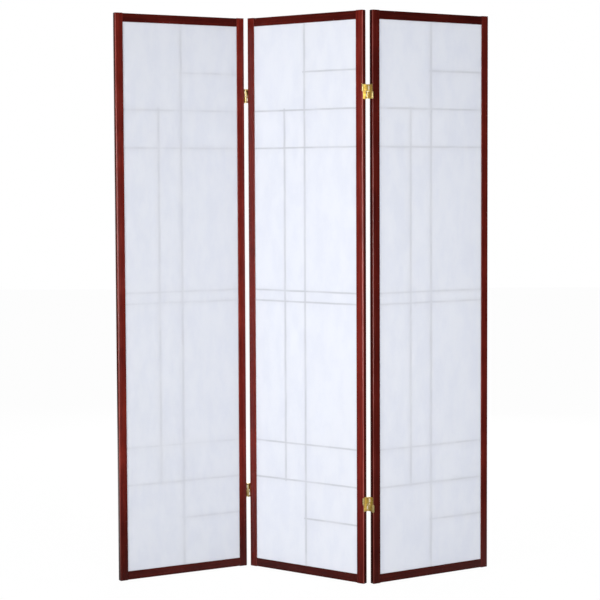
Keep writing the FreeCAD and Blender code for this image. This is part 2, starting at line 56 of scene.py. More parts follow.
MM = 0.001
HAIR = 0.01 * MM
ARC_STEPS = 6
WELD_DIGITS = 7
SHARP_TURN = math.radians(35)
WHITE = (1.0, 1.0, 1.0, 1.0)
Pair = tuple[float, float]
Triple = tuple[float, float, float]
Colour = Triple
Socket = bpy.types.NodeSocket
Material = bpy.types.Material


def put_in_scene(name: str, data: bpy.types.ID) -> bpy.types.Object:
    """Makes an object at the origin of the scene.

    Args:
        name: Its name.
        data: Its mesh, lamp or camera.

    Returns:
        The object.
    """
    thing = bpy.data.objects.new(name, data)
    bpy.context.scene.collection.objects.link(thing)
    return thing


# ---- surfaces


@dataclass
class Surface:
    """Points and faces of a mesh, with the arris colour and painted shade of each point.

    Attributes:
        points: Corner points, one row each.
        faces: Corner numbers of each face.
        wear_sheen_and_shade: From -1, darkened as painted shade, through 0 to 1, lacquer thinned by
            handling with a painted highlight, for each point.
    """

    points: np.ndarray
    faces: list[tuple[int, ...]]
    wear_sheen_and_shade: np.ndarray

    @classmethod
    def joined(cls, surfaces: Sequence["Surface"]) -> "Surface":
        """One surface of several.

        Args:
            surfaces: The surfaces, in any order.

        Returns:
            Their points one after another, with the faces counted on.
        """
        starts = np.cumsum([0] + [len(surface.points) for surface in surfaces])
        faces = [
            tuple(corner + int(start) for corner in face)
            for surface, start in zip(surfaces, starts)
            for face in surface.faces
        ]
        points = np.concatenate([surface.points for surface in surfaces])
        return cls(points, faces, np.concatenate([surface.wear_sheen_and_shade for surface in surfaces]))


def loft(rings: np.ndarray, wear_sheen_and_shade: np.ndarray) -> Surface:
    """A closed solid through a stack of rings.

    Formula: point (i, j) of the grid is corner j of ring i, quads join neighbours in both
    directions, and the first and last ring are closed by one face each. Points that coincide,
    as on the flat ledge between two rings at one height, become one, and faces that have
    vanished go.

    Args:
        rings: Rings by corners by 3, every ring anticlockwise seen against the loft's direction.
        wear_sheen_and_shade: Arris colour and painted shade of each corner of a ring.

    Returns:
        The welded solid.
    """
    count, corners = rings.shape[:2]
    number = np.arange(count * corners).reshape(count, corners)
    following = np.roll(number, -1, axis=1)
    quads = np.stack([number[:-1], following[:-1], following[1:], number[1:]], axis=-1)
    flat = rings.reshape(-1, 3)
    _, first, weld = np.unique(flat.round(WELD_DIGITS), axis=0, return_index=True, return_inverse=True)
    weld = weld.reshape(-1)
    candidates = weld[quads.reshape(-1, 4)].tolist()
    candidates += [weld[number[0, ::-1]].tolist(), weld[number[-1]].tolist()]
    distinct = (tuple(dict.fromkeys(face)) for face in candidates)
    faces = [face for face in distinct if len(face) > 2]
    return Surface(flat[first], faces, np.tile(wear_sheen_and_shade, count)[first])


class Corner(Enum):
    """Corners of a section, by the angle at which their arc starts when drawn anticlockwise."""

    BACK_RIGHT = 0
    BACK_LEFT = 90
    FRONT_LEFT = 180
    FRONT_RIGHT = 270


def arc(corner: Corner, tip: Pair, radius: float, steps: int = ARC_STEPS) -> np.ndarray:
    """A rounded corner.

    Formula: centre + radius * (cos a, sin a), while a runs a quarter turn from the corner's own
    angle, with the centre one radius inside the tip along both axes.

    Args:
        corner: Which corner of the section it is.
        tip: Where the corner would be if it were sharp.
        radius: Its radius.
        steps: How many chords the arc has.

    Returns:
        steps + 1 points by 2.
    """
    turn = math.radians(corner.value) + np.linspace(0.0, math.pi / 2, steps + 1)
    middle = math.radians(corner.value + 45)
    inward = np.sign([math.cos(middle), math.sin(middle)])
    centre = np.asarray(tip) - radius * inward
    return centre + radius * np.stack([np.cos(turn), np.sin(turn)], axis=1)


# ---- sizes of the screen


@dataclass(frozen=True)
class FrameSizes:
    """Sizes of a panel's wooden frame."""

    height: float = 1785 * MM
    width: float = 444 * MM
    depth: float = 19 * MM
    stile: float = 26 * MM
    rail: float = 27 * MM
    rail_lift: float = 1 * MM
    rail_inset: float = 0.5 * MM
    stile_round: float = 3 * MM
    edge_round: float = 1.5 * MM
    end_round: float = 1.2 * MM
    least_round: float = 0.2 * MM
    lip: float = 3 * MM
    rabbet: float = 6 * MM
    crown: float = 0.45 * MM

    @property
    def opening(self) -> Pair:
        """Left and right edge of the opening between the stiles."""
        return self.stile, self.width - self.stile

    @property
    def opening_up(self) -> Pair:
        """Lower and upper edge of the opening between the rails."""
        low = self.rail_lift + self.rail
        return low, self.height - low

    @property
    def seat(self) -> Pair:
        """Left and right edge of the rabbet that the paper and lattice lie in."""
        return self.stile - self.rabbet, self.width - self.stile + self.rabbet

    @property
    def seat_up(self) -> Pair:
        """Lower and upper edge of the same rabbet."""
        low, high = self.opening_up
        return low - self.rabbet, high + self.rabbet


@dataclass(frozen=True)
class LatticeSizes:
    """Sizes of the paper sheet and of the strips behind it."""

    slip: float = 0.1 * MM
    paper: float = 0.4 * MM
    depth: float = 10 * MM
    upright: float = 7 * MM
    bar: float = 5 * MM
    side_upright: float = 118 * MM
    short_bar: float = 181 * MM
    bar_spacing: float = 119.2 * MM
    pair_spacing: float = 34.5 * MM
    overrun: float = 4 * MM
    eased: float = 0.35 * MM


@dataclass(frozen=True)
class Stance:
    """Where a panel stands: its left front corner on the floor, and its turn from the X axis."""

    corner: Pair
    yaw: float

    @classmethod
    def of(cls, panel: str, sizes: FrameSizes) -> "Stance":
        """Reads a panel's stance from the rest faces under its two stiles.

        Args:
            panel: left, middle or right.
            sizes: Sizes of its frame.

        Returns:
            The stance, in the row frame.
        """
        mounts = {mount["name"]: mount["pos_m"] for mount in frame["record"]["mounts"]}
        left, right = (np.array(mounts[f"{panel}_panel_{side}_foot"][:2]) for side in ("left", "right"))
        along = (right - left) / np.linalg.norm(right - left)
        across = np.array([-along[1], along[0]])
        corner = left - along * sizes.stile / 2 - across * sizes.depth / 2
        return cls((float(corner[0]), float(corner[1])), math.atan2(along[1], along[0]))

    def place(self, surface: Surface) -> Surface:
        """Moves a surface from the panel's frame into the row frame.

        Args:
            surface: The surface in the panel's frame.

        Returns:
            The same surface in the row frame.
        """
        cos, sin = math.cos(self.yaw), math.sin(self.yaw)
        rotation = np.array([[cos, -sin, 0.0], [sin, cos, 0.0], [0.0, 0.0, 1.0]])
        points = surface.points @ rotation.T + np.array([*self.corner, 0.0])
        return Surface(points, surface.faces, surface.wear_sheen_and_shade)


# ---- materials


class Bench:
    """Puts together the nodes of a material or of the world."""

    def __init__(self, owner: Material | bpy.types.World) -> None:
        """Starts with an empty tree.

        Args:
            owner: The material or the world.
        """
        self.owner = owner
        owner.use_nodes = True
        self.tree = owner.node_tree
        self.tree.nodes.clear()

    def add(self, kind: str, inputs: dict | None = None, **settings: object) -> bpy.types.Node:
        """Adds a node.

        Args:
            kind: Its type without the ShaderNode in front, such as Math.
            inputs: Values or output sockets for its inputs, by name or number.
            settings: Properties of the node itself.

        Returns:
            The node.
        """
        node = self.tree.nodes.new("ShaderNode" + kind)
        for name, value in settings.items():
            setattr(node, name, value)
        for key, value in (inputs or {}).items():
            if isinstance(value, Socket):
                self.tree.links.new(value, node.inputs[key])
            else:
                node.inputs[key].default_value = value
        return node

    def math(self, operation: str, *values: object, clamp: bool = False) -> Socket:
        """The result of a Math node on up to three values or sockets."""
        inputs = dict(enumerate(values))
        return self.add("Math", inputs, operation=operation, use_clamp=clamp).outputs[0]

    def ramp(self, value: object, low: float, high: float, to: Pair = (0, 1)) -> Socket:
        """A smooth step of a value.

        Args:
            value: A socket or number.
            low: Where the step starts.
            high: Where it ends.
            to: What it gives before its start and after its end.

        Returns:
            A number socket.
        """
        inputs = {0: value, 1: low, 2: high, 3: to[0], 4: to[1]}
        step = self.add("MapRange", inputs, interpolation_type="SMOOTHSTEP", clamp=True)
        return step.outputs[0]

    def noise(self, vector: object, scale: float, detail: float = 2.0, rough: float = 0.5) -> Socket:
        """The factor of a Noise texture on a vector socket."""
        inputs = {"Vector": vector, "Scale": scale, "Detail": detail, "Roughness": rough}
        return self.add("TexNoise", inputs).outputs[0]

    def mix(self, factor: object, first: object, second: object, blend: str = "MIX") -> Socket:
        """Mixes two colours.

        Args:
            factor: How much of the second comes in, as a socket or number.
            first: A colour or colour socket.
            second: A colour or colour socket.
            blend: Way of mixing.

        Returns:
            A colour socket.
        """
        colours = [(*c, 1.0) if isinstance(c, tuple) else c for c in (first, second)]
        inputs = {0: factor, 6: colours[0], 7: colours[1]}
        return self.add("Mix", inputs, data_type="RGBA", blend_type=blend).outputs[2]

    def scaled(self, colour: object, factor: object) -> Socket:
        """A colour times a number, either of them a socket or not."""
        grey = self.add("CombineColor", {0: factor, 1: factor, 2: factor}).outputs[0]
        return self.mix(1.0, colour, grey, "MULTIPLY")

    def attribute(self, name: str) -> Socket:
        """A number that the mesh holds for each of its points."""
        return self.add("Attribute", attribute_name=name).outputs["Fac"]

    def place(self, stance: Stance | None, scale: Triple = (1, 1, 1), offset: float = 0.0) -> Socket:
        """Object coordinates in a panel's frame, multiplied along each axis.

        Args:
            stance: The panel's stance, or None for the row frame.
            scale: Factors for u, v and w.
            offset: How far the pattern is shifted along every axis.

        Returns:
            A vector socket.
        """
        here = self.add("TexCoord").outputs["Object"]
        if stance:
            at = {"Vector": here, "Location": (*stance.corner, 0.0), "Rotation": (0, 0, stance.yaw)}
            here = self.add("Mapping", at, vector_type="TEXTURE").outputs[0]
        stretch = {"Vector": here, "Scale": scale, "Location": (offset, offset, offset)}
        return self.add("Mapping", stretch).outputs[0]

    def bump(self, height: object, distance: float, strength: float) -> Socket:
        """A normal bent by a height socket."""
        inputs = {"Height": height, "Distance": distance, "Strength": strength}
        return self.add("Bump", inputs).outputs[0]

    def finish(self, kind: str, inputs: dict) -> Material | bpy.types.World:
        """Ends the tree with one last shader.

        Args:
            kind: The shader's type.
            inputs: Values or sockets for its inputs.

        Returns:
            The material or the world.
        """
        shader = self.add(kind, inputs).outputs[0]
        world = isinstance(self.owner, bpy.types.World)
        self.add("OutputWorld" if world else "OutputMaterial", {"Surface": shader})
        return self.owner


class Grain(Enum):
    """Which way the grain of a wooden piece runs, as the stretch of its pattern in (u, v, w)."""

    UPRIGHT = (1.0, 1.0, 0.025)
    LEVEL = (0.025, 1.0, 1.0)


@dataclass(frozen=True)
class CherryLacquer:
    """Satin cherry lacquer over straight, fine grained hardwood.

    Upright pieces are darker towards the floor. The arrises take a lighter colour, for lacquer thinned
    by handling with a painted highlight, and the outer sides of the stiles are darkened as painted
    shade.
    """

    ground: Colour = (0.125, 0.0090, 0.0060)
    pore: Colour = (0.045, 0.0036, 0.0030)
    figure: Colour = (0.200, 0.0170, 0.0090)
    # Arris colour: lacquer thinned by handling, and a painted highlight.
    rub_and_sheen: Colour = (0.420, 0.105, 0.085)
    pores_per_metre: float = 2100.0
    figure_per_metre: float = 260.0
    clouds_per_metre: float = 9.0
    pore_share: float = 0.75
    least_rub_and_sheen: float = 0.45
    cloudy: float = 0.14
    low_reach: float = 0.45
    # How much the outer sides of the stiles are darkened: painted shade.
    side_shade_depth: float = 0.45
    roughness: float = 0.20
    relief: float = 0.08 * MM
    relief_share: float = 0.35
    specular: float = 0.25
    coat: float = 0.06
    coat_roughness: float = 0.1

    def build(self, name: str, stance: Stance, grain: Grain, look: "Look") -> Material:
        """Makes the material for one panel's pieces of one grain.

        Args:
            name: The material's name.
            stance: Where the panel stands.
            grain: Which way its grain runs.
            look: How the panel looks.

        Returns:
            The material.
        """
        bench = Bench(bpy.data.materials.new(name))
        offset = look.offset
        along = bench.place(stance, grain.value, offset)
        pores = bench.noise(along, self.pores_per_metre, 2.0, 0.6)
        figure = bench.noise(along, self.figure_per_metre, 4.0, 0.55)
        clouds = bench.noise(bench.place(stance, offset=offset), self.clouds_per_metre, 2.0)
        colour = bench.mix(bench.ramp(figure, 0.35, 0.70), self.ground, self.figure)
        colour = bench.mix(bench.ramp(pores, 0.52, 0.70, (0.0, self.pore_share)), colour, self.pore)
        # A lighter colour along the arrises: lacquer thinned by handling, and a painted highlight.
        wear_sheen_and_shade = bench.attribute("wear_sheen_and_shade")
        rub_and_sheen_spread = bench.ramp(figure, 0.3, 0.6, (self.least_rub_and_sheen, 1.0))
        rub_and_sheen_mask = bench.math("MULTIPLY", bench.math("MAXIMUM", wear_sheen_and_shade, 0.0), rub_and_sheen_spread)
        colour = bench.mix(rub_and_sheen_mask, colour, self.rub_and_sheen)
        cloudy = bench.ramp(clouds, 0.3, 0.7, (1.0 - self.cloudy, 1.0 + self.cloudy))
        tone = bench.math("MULTIPLY", bench.attribute("tone"), cloudy)
        # Negative values darken the outer sides of the stiles: painted shade.
        painted_side_shade = bench.math("MINIMUM", wear_sheen_and_shade, 0.0)
        tone = bench.math("MULTIPLY", tone, bench.math("MULTIPLY_ADD", painted_side_shade, self.side_shade_depth, 1.0))
        if grain is Grain.UPRIGHT:
            up = bench.add("SeparateXYZ", {0: bench.place(stance)}).outputs[2]
            tone = bench.math("MULTIPLY", tone, bench.ramp(up, 0.0, self.low_reach, (look.feet, 1.0)))
        relief = bench.math("MULTIPLY_ADD", figure, 0.5, bench.math("MULTIPLY", pores, -0.5))
        return bench.finish("BsdfPrincipled", {
            "Base Color": bench.scaled(colour, tone),
            "Roughness": bench.ramp(clouds, 0.2, 0.8, (self.roughness - 0.04, self.roughness + 0.06)),
            "Normal": bench.bump(relief, self.relief, self.relief_share),
            "Specular IOR Level": self.specular,
            "Coat Weight": self.coat,
            "Coat Roughness": self.coat_roughness,
        })


@dataclass(frozen=True)
class ScreenPaper:
    """Translucent white paper, with long soft fibres, glued to the strips behind it.

    Where a strip lies behind it, less light comes through. Besides that real translucency, a soft grey
    line for each strip is painted into the paper's colour: a painted shadow.
    """

    lattice: "Lattice"
    sheet: Colour = (0.800, 0.820, 0.873)
    cloud: Colour = (0.768, 0.791, 0.857)
    # Colour of the painted strip shadows.
    line: Colour = (0.60, 0.62, 0.665)
    through: float = 0.24
    upright_share: float = 0.72
    stray: float = 1.6 * MM
    bends_per_metre: float = 14.0
    clouds_per_metre: float = 26.0
    fibres_per_metre: float = 900.0
    strands_per_metre: float = 520.0
    patches_per_metre: float = 11.0
    felt_share: float = 0.05
    brightest: float = 1.01
    roughness: float = 0.92
    specular: float = 0.18
    relief: float = 0.06 * MM

    def lines(self, bench: Bench, stance: Stance, look: "Look") -> Socket:
        """Where the strips lie, as the mask of their painted shadows.

        The bars lie alike above and below half height, so they are found by their distance
        from it. Short bars start at the centre upright and the side upright ends past the
        outermost full bars. The uprights show less than the bars, which cross in front of them.

        Args:
            bench: Where the paper's nodes are put together.
            stance: Where the panel stands.
            look: How the panel looks.

        Returns:
            A socket from 0 on clear paper to 1 on a bar.
        """
        soft, strips, half = look.soft, self.lattice.strips, self.lattice.sizes.height / 2
        wander = bench.noise(bench.place(stance, offset=look.offset), self.bends_per_metre, 3.0)
        near = bench.math("MULTIPLY_ADD", wander, 2 * self.stray, -self.stray)
        split = bench.add("SeparateXYZ", {0: bench.place(stance)}).outputs
        across = bench.math("ADD", split[0], near)
        up = bench.math("ADD", split[2], near)
        from_middle = bench.math("ABSOLUTE", bench.math("SUBTRACT", up, half))
        bars = {kind: [half - up for up in ups if up < half] for kind, ups in self.lattice.bars.items()}

        def band(distance: Socket, at: float, width: float) -> Socket:
            """1 within half a strip's width of its middle, falling to 0 over twice soft."""
            away = bench.math("ABSOLUTE", bench.math("SUBTRACT", distance, at))
            return bench.ramp(away, width / 2 + soft, width / 2 - soft)

        def upright(at: float) -> Socket:
            """The fainter band of an upright."""
            return bench.math("MULTIPLY", band(across, at, strips.upright), self.upright_share)

        start = self.lattice.short_start
        right_half = bench.ramp(across, start - soft, start + soft)
        top = max(bars["full"]) + self.lattice.past_bar
        within = bench.ramp(from_middle, top + soft, top - soft)
        bands = [band(from_middle, at, strips.bar) for at in bars["full"]]
        short = band(from_middle, bars["short"][0], strips.bar)
        bands.append(bench.math("MULTIPLY", short, right_half))
        bands.append(bench.math("MULTIPLY", upright(self.lattice.side), within))
        bands.append(upright(self.lattice.centre))
        result = bands[0]
        for other in bands[1:]:
            result = bench.math("MAXIMUM", result, other)
        return result

    def build(self, name: str, stance: Stance, look: "Look") -> Material:
        """Makes one panel's paper.

        Args:
            name: The material's name.
            stance: Where the panel stands.
            look: How the panel looks.

        Returns:
            The material.
        """
        bench = Bench(bpy.data.materials.new(name))
        upright, along = (bench.place(stance, (1.0, 1.0, share), look.offset) for share in (0.4, 0.12))
        level = bench.place(stance, (0.1, 1.0, 1.0), look.offset)
        clouds = bench.noise(upright, self.clouds_per_metre, 5.0, 0.62)
        fibres = bench.noise(along, self.fibres_per_metre, 3.0, 0.7)
        strands = bench.noise(level, self.strands_per_metre, 3.0, 0.7)
        patches = bench.noise(bench.place(stance, offset=look.offset), self.patches_per_metre, 3.0)
        colour = bench.mix(bench.ramp(clouds, 0.35, 0.68), self.sheet, self.cloud)
        felt = bench.math("MULTIPLY", bench.ramp(fibres, 0.5, 0.75), bench.ramp(strands, 0.45, 0.7))
        # Each panel's paper tone stands in for how brightly it is lit: painted light and shade.
        tone = bench.math("MULTIPLY_ADD", felt, -self.felt_share, self.brightest * look.paper)
        colour = bench.scaled(colour, tone)
        # Painted shadows of the strips, weaker in random patches, mixed into the paper's colour.
        glued = bench.ramp(patches, 0.35, 0.60, (1 - look.patchy, 1.0))
        lines = bench.math("MULTIPLY", self.lines(bench, stance, look), glued)
        colour = bench.mix(bench.math("MULTIPLY", lines, look.strength), colour, self.line)
        normal = bench.bump(bench.math("ADD", fibres, strands), self.relief, 0.25)
        face = bench.add("BsdfPrincipled", {
            "Base Color": colour, "Roughness": self.roughness,
            "Specular IOR Level": self.specular, "Normal": normal,
        }).outputs[0]
        glow = bench.add("BsdfTranslucent", {"Color": colour, "Normal": normal}).outputs[0]
        return bench.finish("MixShader", {0: self.through, 1: face, 2: glow})


@dataclass(frozen=True)
class HingeBrass:
    """Satin brass plate, a little dulled where it has been handled."""

    bright: Colour = (0.78, 0.64, 0.27)
    dulled: Colour = (0.34, 0.23, 0.07)
    roughness: float = 0.27
    tarnish_per_metre: float = 180.0
    scratches_per_metre: float = 5200.0

    def build(self, name: str) -> Material:
        """Makes the material.

        Args:
            name: The material's name.

        Returns:
            The material.
        """
        bench = Bench(bpy.data.materials.new(name))
        tarnish = bench.noise(bench.place(None), self.tarnish_per_metre, 4.0, 0.6)
        brushed = bench.noise(bench.place(None, (1.0, 1.0, 0.08)), self.scratches_per_metre, 1.0)
        dull = bench.ramp(tarnish, 0.45, 0.75, (0.0, 0.8))
        return bench.finish("BsdfPrincipled", {
            "Base Color": bench.mix(dull, self.bright, self.dulled),
            "Metallic": 1.0,
            "Roughness": bench.ramp(tarnish, 0.3, 0.8, (self.roughness, self.roughness + 0.2)),
            "Normal": bench.bump(brushed, 0.02 * MM, 0.3),
        })


@dataclass(frozen=True)
class BareWood:
    """Plain hardwood of the dowels, which only shows if a corner is taken apart."""

    ground: Colour = (0.52, 0.34, 0.17)
    streak: Colour = (0.40, 0.24, 0.11)
    streaks_per_metre: float = 700.0
    roughness: float = 0.7

    def build(self, name: str) -> Material:
        """Makes the material.

        Args:
            name: The material's name.

        Returns:
            The material.
        """
        bench = Bench(bpy.data.materials.new(name))
        streaks = bench.ramp(bench.noise(bench.place(None), self.streaks_per_metre, 3.0), 0.4, 0.6)
        colour = bench.mix(streaks, self.ground, self.streak)
        return bench.finish("BsdfPrincipled", {"Base Color": colour, "Roughness": self.roughness})


# ---- pieces


@dataclass(frozen=True)
class Place:
    """What a piece stands for and how it is finished."""

    node: str
    body: str
    slot: str
    material: Material
    tone: float = 1.0


def make_piece(surface: Surface, place: Place) -> None:
    """Makes the object that stands for a CAD node, at the origin.

    Args:
        surface: Its surface, in the row frame.
        place: Its node, body, slot and finish.
    """
    mesh = bpy.data.meshes.new(place.node + "_surface")
    mesh.from_pydata(surface.points.tolist(), [], surface.faces)
    for name, values in (("wear_sheen_and_shade", surface.wear_sheen_and_shade), ("tone", np.full(len(surface.points), place.tone))):
        layer = mesh.attributes.new(name, "FLOAT", "POINT")
        layer.data.foreach_set("value", np.ascontiguousarray(values, dtype=np.float32))
    mesh.polygons.foreach_set("use_smooth", np.ones(len(mesh.polygons), dtype=bool))
    mesh.set_sharp_from_angle(angle=SHARP_TURN)
    mesh.materials.append(place.material)
    mesh.validate()
    piece = put_in_scene(place.node + "_piece", mesh)
    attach(piece, place.body)
    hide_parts(place.node)
    log.info("%s: %d points, %d faces", piece.name, len(surface.points), len(surface.faces))


@dataclass
class WoodenFrame:
    """The two stiles and two rails of a panel."""

    sizes: FrameSizes
    front_columns: int = 9
    end_stations: int = 5
    rail_stations: int = 5
    # Shares of the arris colour, handled lacquer and painted highlight, on the inner and back arrises.
    inner_rub_and_sheen: float = 0.5
    back_rub_and_sheen: float = 0.6

    @staticmethod
    def arris_rub_and_sheen() -> np.ndarray:
        """Share of the arris colour, for lacquer thinned by handling and a painted highlight, along the
        points of a rounded arris: 0 at its ends and 1 in its middle.
        """
        return 0.5 + 0.5 * np.cos(np.linspace(-math.pi, math.pi, ARC_STEPS + 1))

    def stile_ring(self, inset: float, notched: bool) -> tuple[np.ndarray, np.ndarray]:
        """Section of the left stile, which is mirrored for the right one.

        The front is crowned: its depth grows with the square of the distance from the middle.
        The arrises take the colour of lacquer thinned by handling with a painted highlight, and the
        outer side is darkened as painted shade.

        Args:
            inset: How far the section is drawn in, as it is at the rounded ends.
            notched: True where the rabbet is cut from the inner back corner.

        Returns:
            The section's points, anticlockwise from above, and their arris colour and painted shade.
        """
        size = self.sizes
        left, right = inset, size.stile - inset
        front, back = inset, size.depth - inset
        outer = max(size.stile_round - inset, size.least_round)
        inner = max(size.edge_round - inset, size.least_round)
        step = size.stile - size.rabbet
        front_left = arc(Corner.FRONT_LEFT, (left, front), outer)
        front_right = arc(Corner.FRONT_RIGHT, (right, front), inner)
        face = np.linspace(left + outer, right - inner, self.front_columns)[1:-1]
        front_face = np.stack([face, np.full_like(face, front)], axis=1)
        back_right = arc(Corner.BACK_RIGHT, (right, back), inner)
        back_left = arc(Corner.BACK_LEFT, (left, back), outer)
        lip = np.array([[right, size.lip], [right, size.depth / 2]])
        foot = np.array([[step, back]])
        if notched:
            lip[1] = (step, size.lip)
            back_right = np.repeat(foot, len(back_right), axis=0)
        ring = np.concatenate([front_left, front_face, front_right, lip, back_right, foot, back_left])
        half = size.stile / 2
        crowned = ring[:, 1] < size.lip - HAIR
        share = 1 - np.clip(ring[:, 1] / size.stile_round, 0, 1)
        ring[:, 1] += np.where(crowned, size.crown * share * ((ring[:, 0] - half) / half) ** 2, 0.0)
        arris = self.arris_rub_and_sheen()
        wear_sheen_and_shade = np.concatenate([
            arris, np.zeros(len(face)), self.inner_rub_and_sheen * arris, (0.0, 0.0), np.zeros(len(back_right)),
            (0.0,), self.back_rub_and_sheen * arris,
        ])
        # The outer side face is darkened: painted shade.
        wear_sheen_and_shade[[0, -1]] = -1.0
        return ring, wear_sheen_and_shade

    def stile(self, side: str) -> Surface:
        """A stile with rounded ends, crowned in front and rabbeted between the rails.

        Formula: over a quarter turn a towards an end, the section at end_round * (1 - sin a)
        from it is drawn in by end_round * (1 - cos a).

        Args:
            side: left or right.

        Returns:
            Its surface in the panel's frame.
        """
        size = self.sizes
        turn = np.linspace(0.0, math.pi / 2, self.end_stations)
        ends = list(zip(size.end_round * (1 - np.sin(turn)), size.end_round * (1 - np.cos(turn))))
        low, high = size.seat_up
        stations = [(up, shrink, False) for up, shrink in reversed(ends)]
        stations += [(low, 0.0, False), (low, 0.0, True), (high, 0.0, True), (high, 0.0, False)]
        stations += [(size.height - up, shrink, False) for up, shrink in ends]
        rings = []
        for up, shrink, notched in stations:
            ring, wear_sheen_and_shade = self.stile_ring(shrink, notched)
            rings.append(np.column_stack([ring, np.full(len(ring), up)]))
        surface = loft(np.array(rings), wear_sheen_and_shade)
        if side == "right":
            surface.points[:, 0] = size.width - surface.points[:, 0]
            surface.faces = [face[::-1] for face in surface.faces]
        return surface

    def rail(self, level: str) -> Surface:
        """A rail between the stiles, rabbeted along its inner edge.

        Its section lies in (v, w). It is drawn for the bottom rail and mirrored for the top one.

        Args:
            level: top or bottom.

        Returns:
            Its surface in the panel's frame.
        """
        size = self.sizes
        front, back = size.rail_inset, size.depth - size.rail_inset
        low = size.rail_lift
        high = low + size.rail
        step = high - size.rabbet
        ring = np.concatenate([
            arc(Corner.FRONT_LEFT, (front, low), size.edge_round),
            arc(Corner.FRONT_RIGHT, (back, low), size.edge_round),
            [[back, step], [size.lip, step], [size.lip, high]],
            arc(Corner.BACK_LEFT, (front, high), size.edge_round),
        ])
        arris = self.arris_rub_and_sheen()
        wear_sheen_and_shade = np.concatenate([arris, self.inner_rub_and_sheen * arris, np.zeros(3), self.back_rub_and_sheen * arris])
        runs = np.linspace(*size.opening, self.rail_stations)
        rings = np.array([np.column_stack([np.full(len(ring), u), ring]) for u in runs])
        surface = loft(rings, wear_sheen_and_shade)
        if level == "top":
            surface.points[:, 2] = size.height - surface.points[:, 2]
            surface.faces = [face[::-1] for face in surface.faces]
        return surface


@dataclass
class Lattice:
    """The strips behind a panel's paper: border, uprights and level bars."""

    sizes: FrameSizes
    strips: LatticeSizes
    # Share of the arris colour, handled lacquer and painted highlight, on the strips' eased edges.
    edge_rub_and_sheen: Triple = (0.1, 0.5, 0.1)

    @property
    def side(self) -> float:
        """Middle of the side upright."""
        return self.sizes.stile + self.strips.side_upright

    @property
    def centre(self) -> float:
        """Middle of the centre upright."""
        return self.sizes.width / 2

    @property
    def short_start(self) -> float:
        """Where the short bars start, a little past the centre upright."""
        return self.centre - self.strips.upright / 2 - self.strips.overrun

    @property
    def past_bar(self) -> float:
        """How far past the middle of the outermost full bars the side upright ends."""
        return self.strips.bar / 2 + self.strips.overrun

    @property
    def bars(self) -> dict[str, list[float]]:
        """Heights of the bars.

        Returns:
            Middles of the short and of the full bars, from the floor.
        """
        strips, height = self.strips, self.sizes.height
        lower = [strips.short_bar + step * strips.bar_spacing for step in range(3)]
        pair = [(height - strips.pair_spacing) / 2, (height + strips.pair_spacing) / 2]
        full = lower[1:] + pair + [height - up for up in lower[:0:-1]]
        return {"short": [lower[0], height - lower[0]], "full": full}

    def strip(
        self, run: Pair, middle: float, width: float, upright: bool, laps: Sequence[Pair] = ()
    ) -> Surface:
        """A strip with eased edges, lapped to half its depth where others cross it.

        Its section is (across, v). It runs along w if it is upright and along u if not. The laps
        of an upright take the half that faces the paper, those of a level strip the other half.

        Args:
            run: Where it starts and ends along its run.
            middle: Its middle, across its run.
            width: Its width.
            upright: True if it runs along w.
            laps: (start, end) of each lap along its run.

        Returns:
            Its surface in the panel's frame.
        """
        left, right = middle - width / 2, middle + width / 2
        front = self.sizes.lip + self.strips.paper
        back = front + self.strips.depth
        tips = {
            Corner.FRONT_LEFT: (left, front), Corner.FRONT_RIGHT: (right, front),
            Corner.BACK_RIGHT: (right, back), Corner.BACK_LEFT: (left, back),
        }
        whole = np.concatenate([arc(corner, tip, self.strips.eased, 2) for corner, tip in tips.items()])
        cut, half = whole.copy(), len(whole) // 2
        taken = (self.strips.depth + self.strips.slip) / 2
        if upright:
            cut[:half, 1] += taken
        else:
            cut[half:, 1] -= taken
        stations = [(run[0], whole)]
        for low, high in sorted(laps):
            stations += [(low, whole), (low, cut), (high, cut), (high, whole)]
        stations.append((run[1], whole))
        rings = []
        for at, ring in stations:
            along = np.full(len(ring), at)
            columns = (ring[:, 0], ring[:, 1], along) if upright else (along, ring[:, 1], ring[:, 0])
            rings.append(np.column_stack(columns))
        surface = loft(np.array(rings), np.tile(self.edge_rub_and_sheen, 4))
        if not upright:
            surface.faces = [face[::-1] for face in surface.faces]
        return surface

    def border(self) -> Surface:
        """The four border strips that fill the rabbet behind the paper.

        Returns:
            Their surfaces as one, in the panel's frame.
        """
        slip = self.strips.slip
        (left, right), (low, high) = self.sizes.seat, self.sizes.seat_up
        level, upright = self.sizes.opening, (low + slip, high - slip)
        open_low, open_high = self.sizes.opening_up
        wide = self.sizes.rabbet - slip
        return Surface.joined([
            self.strip(upright, (left + slip + level[0]) / 2, wide, True),
            self.strip(upright, (right - slip + level[1]) / 2, wide, True),
            self.strip(level, (low + slip + open_low) / 2, wide, False),
            self.strip(level, (high - slip + open_high) / 2, wide, False),
        ])

    def laps_at(self, middles: Sequence[float], width: float) -> list[Pair]:
        """(start, end) of the laps for crossing strips of one width."""
        half = width / 2 + self.strips.slip / 2
        return [(middle - half, middle + half) for middle in middles]

    def uprights(self) -> dict[str, Surface]:
        """The centre upright, over the whole opening, and the side upright.

        Returns:
            Their surfaces by name, in the panel's frame.
        """
        bars, wide = self.bars, self.strips.upright
        every = self.laps_at(bars["short"] + bars["full"], self.strips.bar)
        full = self.laps_at(bars["full"], self.strips.bar)
        run = (bars["full"][0] - self.past_bar, bars["full"][-1] + self.past_bar)
        return {
            "centre_upright": self.strip(self.sizes.opening_up, self.centre, wide, True, every),
            "side_upright": self.strip(run, self.side, wide, True, full),
        }

    def level_bars(self) -> dict[str, Surface]:
        """The six full bars and the two short bars.

        Returns:
            The surfaces of each kind as one, by name, in the panel's frame.
        """
        left, right = self.sizes.opening
        rows = {"full": (left, [self.side, self.centre]), "short": (self.short_start, [self.centre])}
        kinds = {}
        for name, (first, crossed) in rows.items():
            laps = self.laps_at(crossed, self.strips.upright)
            kinds[f"{name}_bars"] = Surface.joined([
                self.strip((first, right), up, self.strips.bar, False, laps) for up in self.bars[name]
            ])
        return kinds


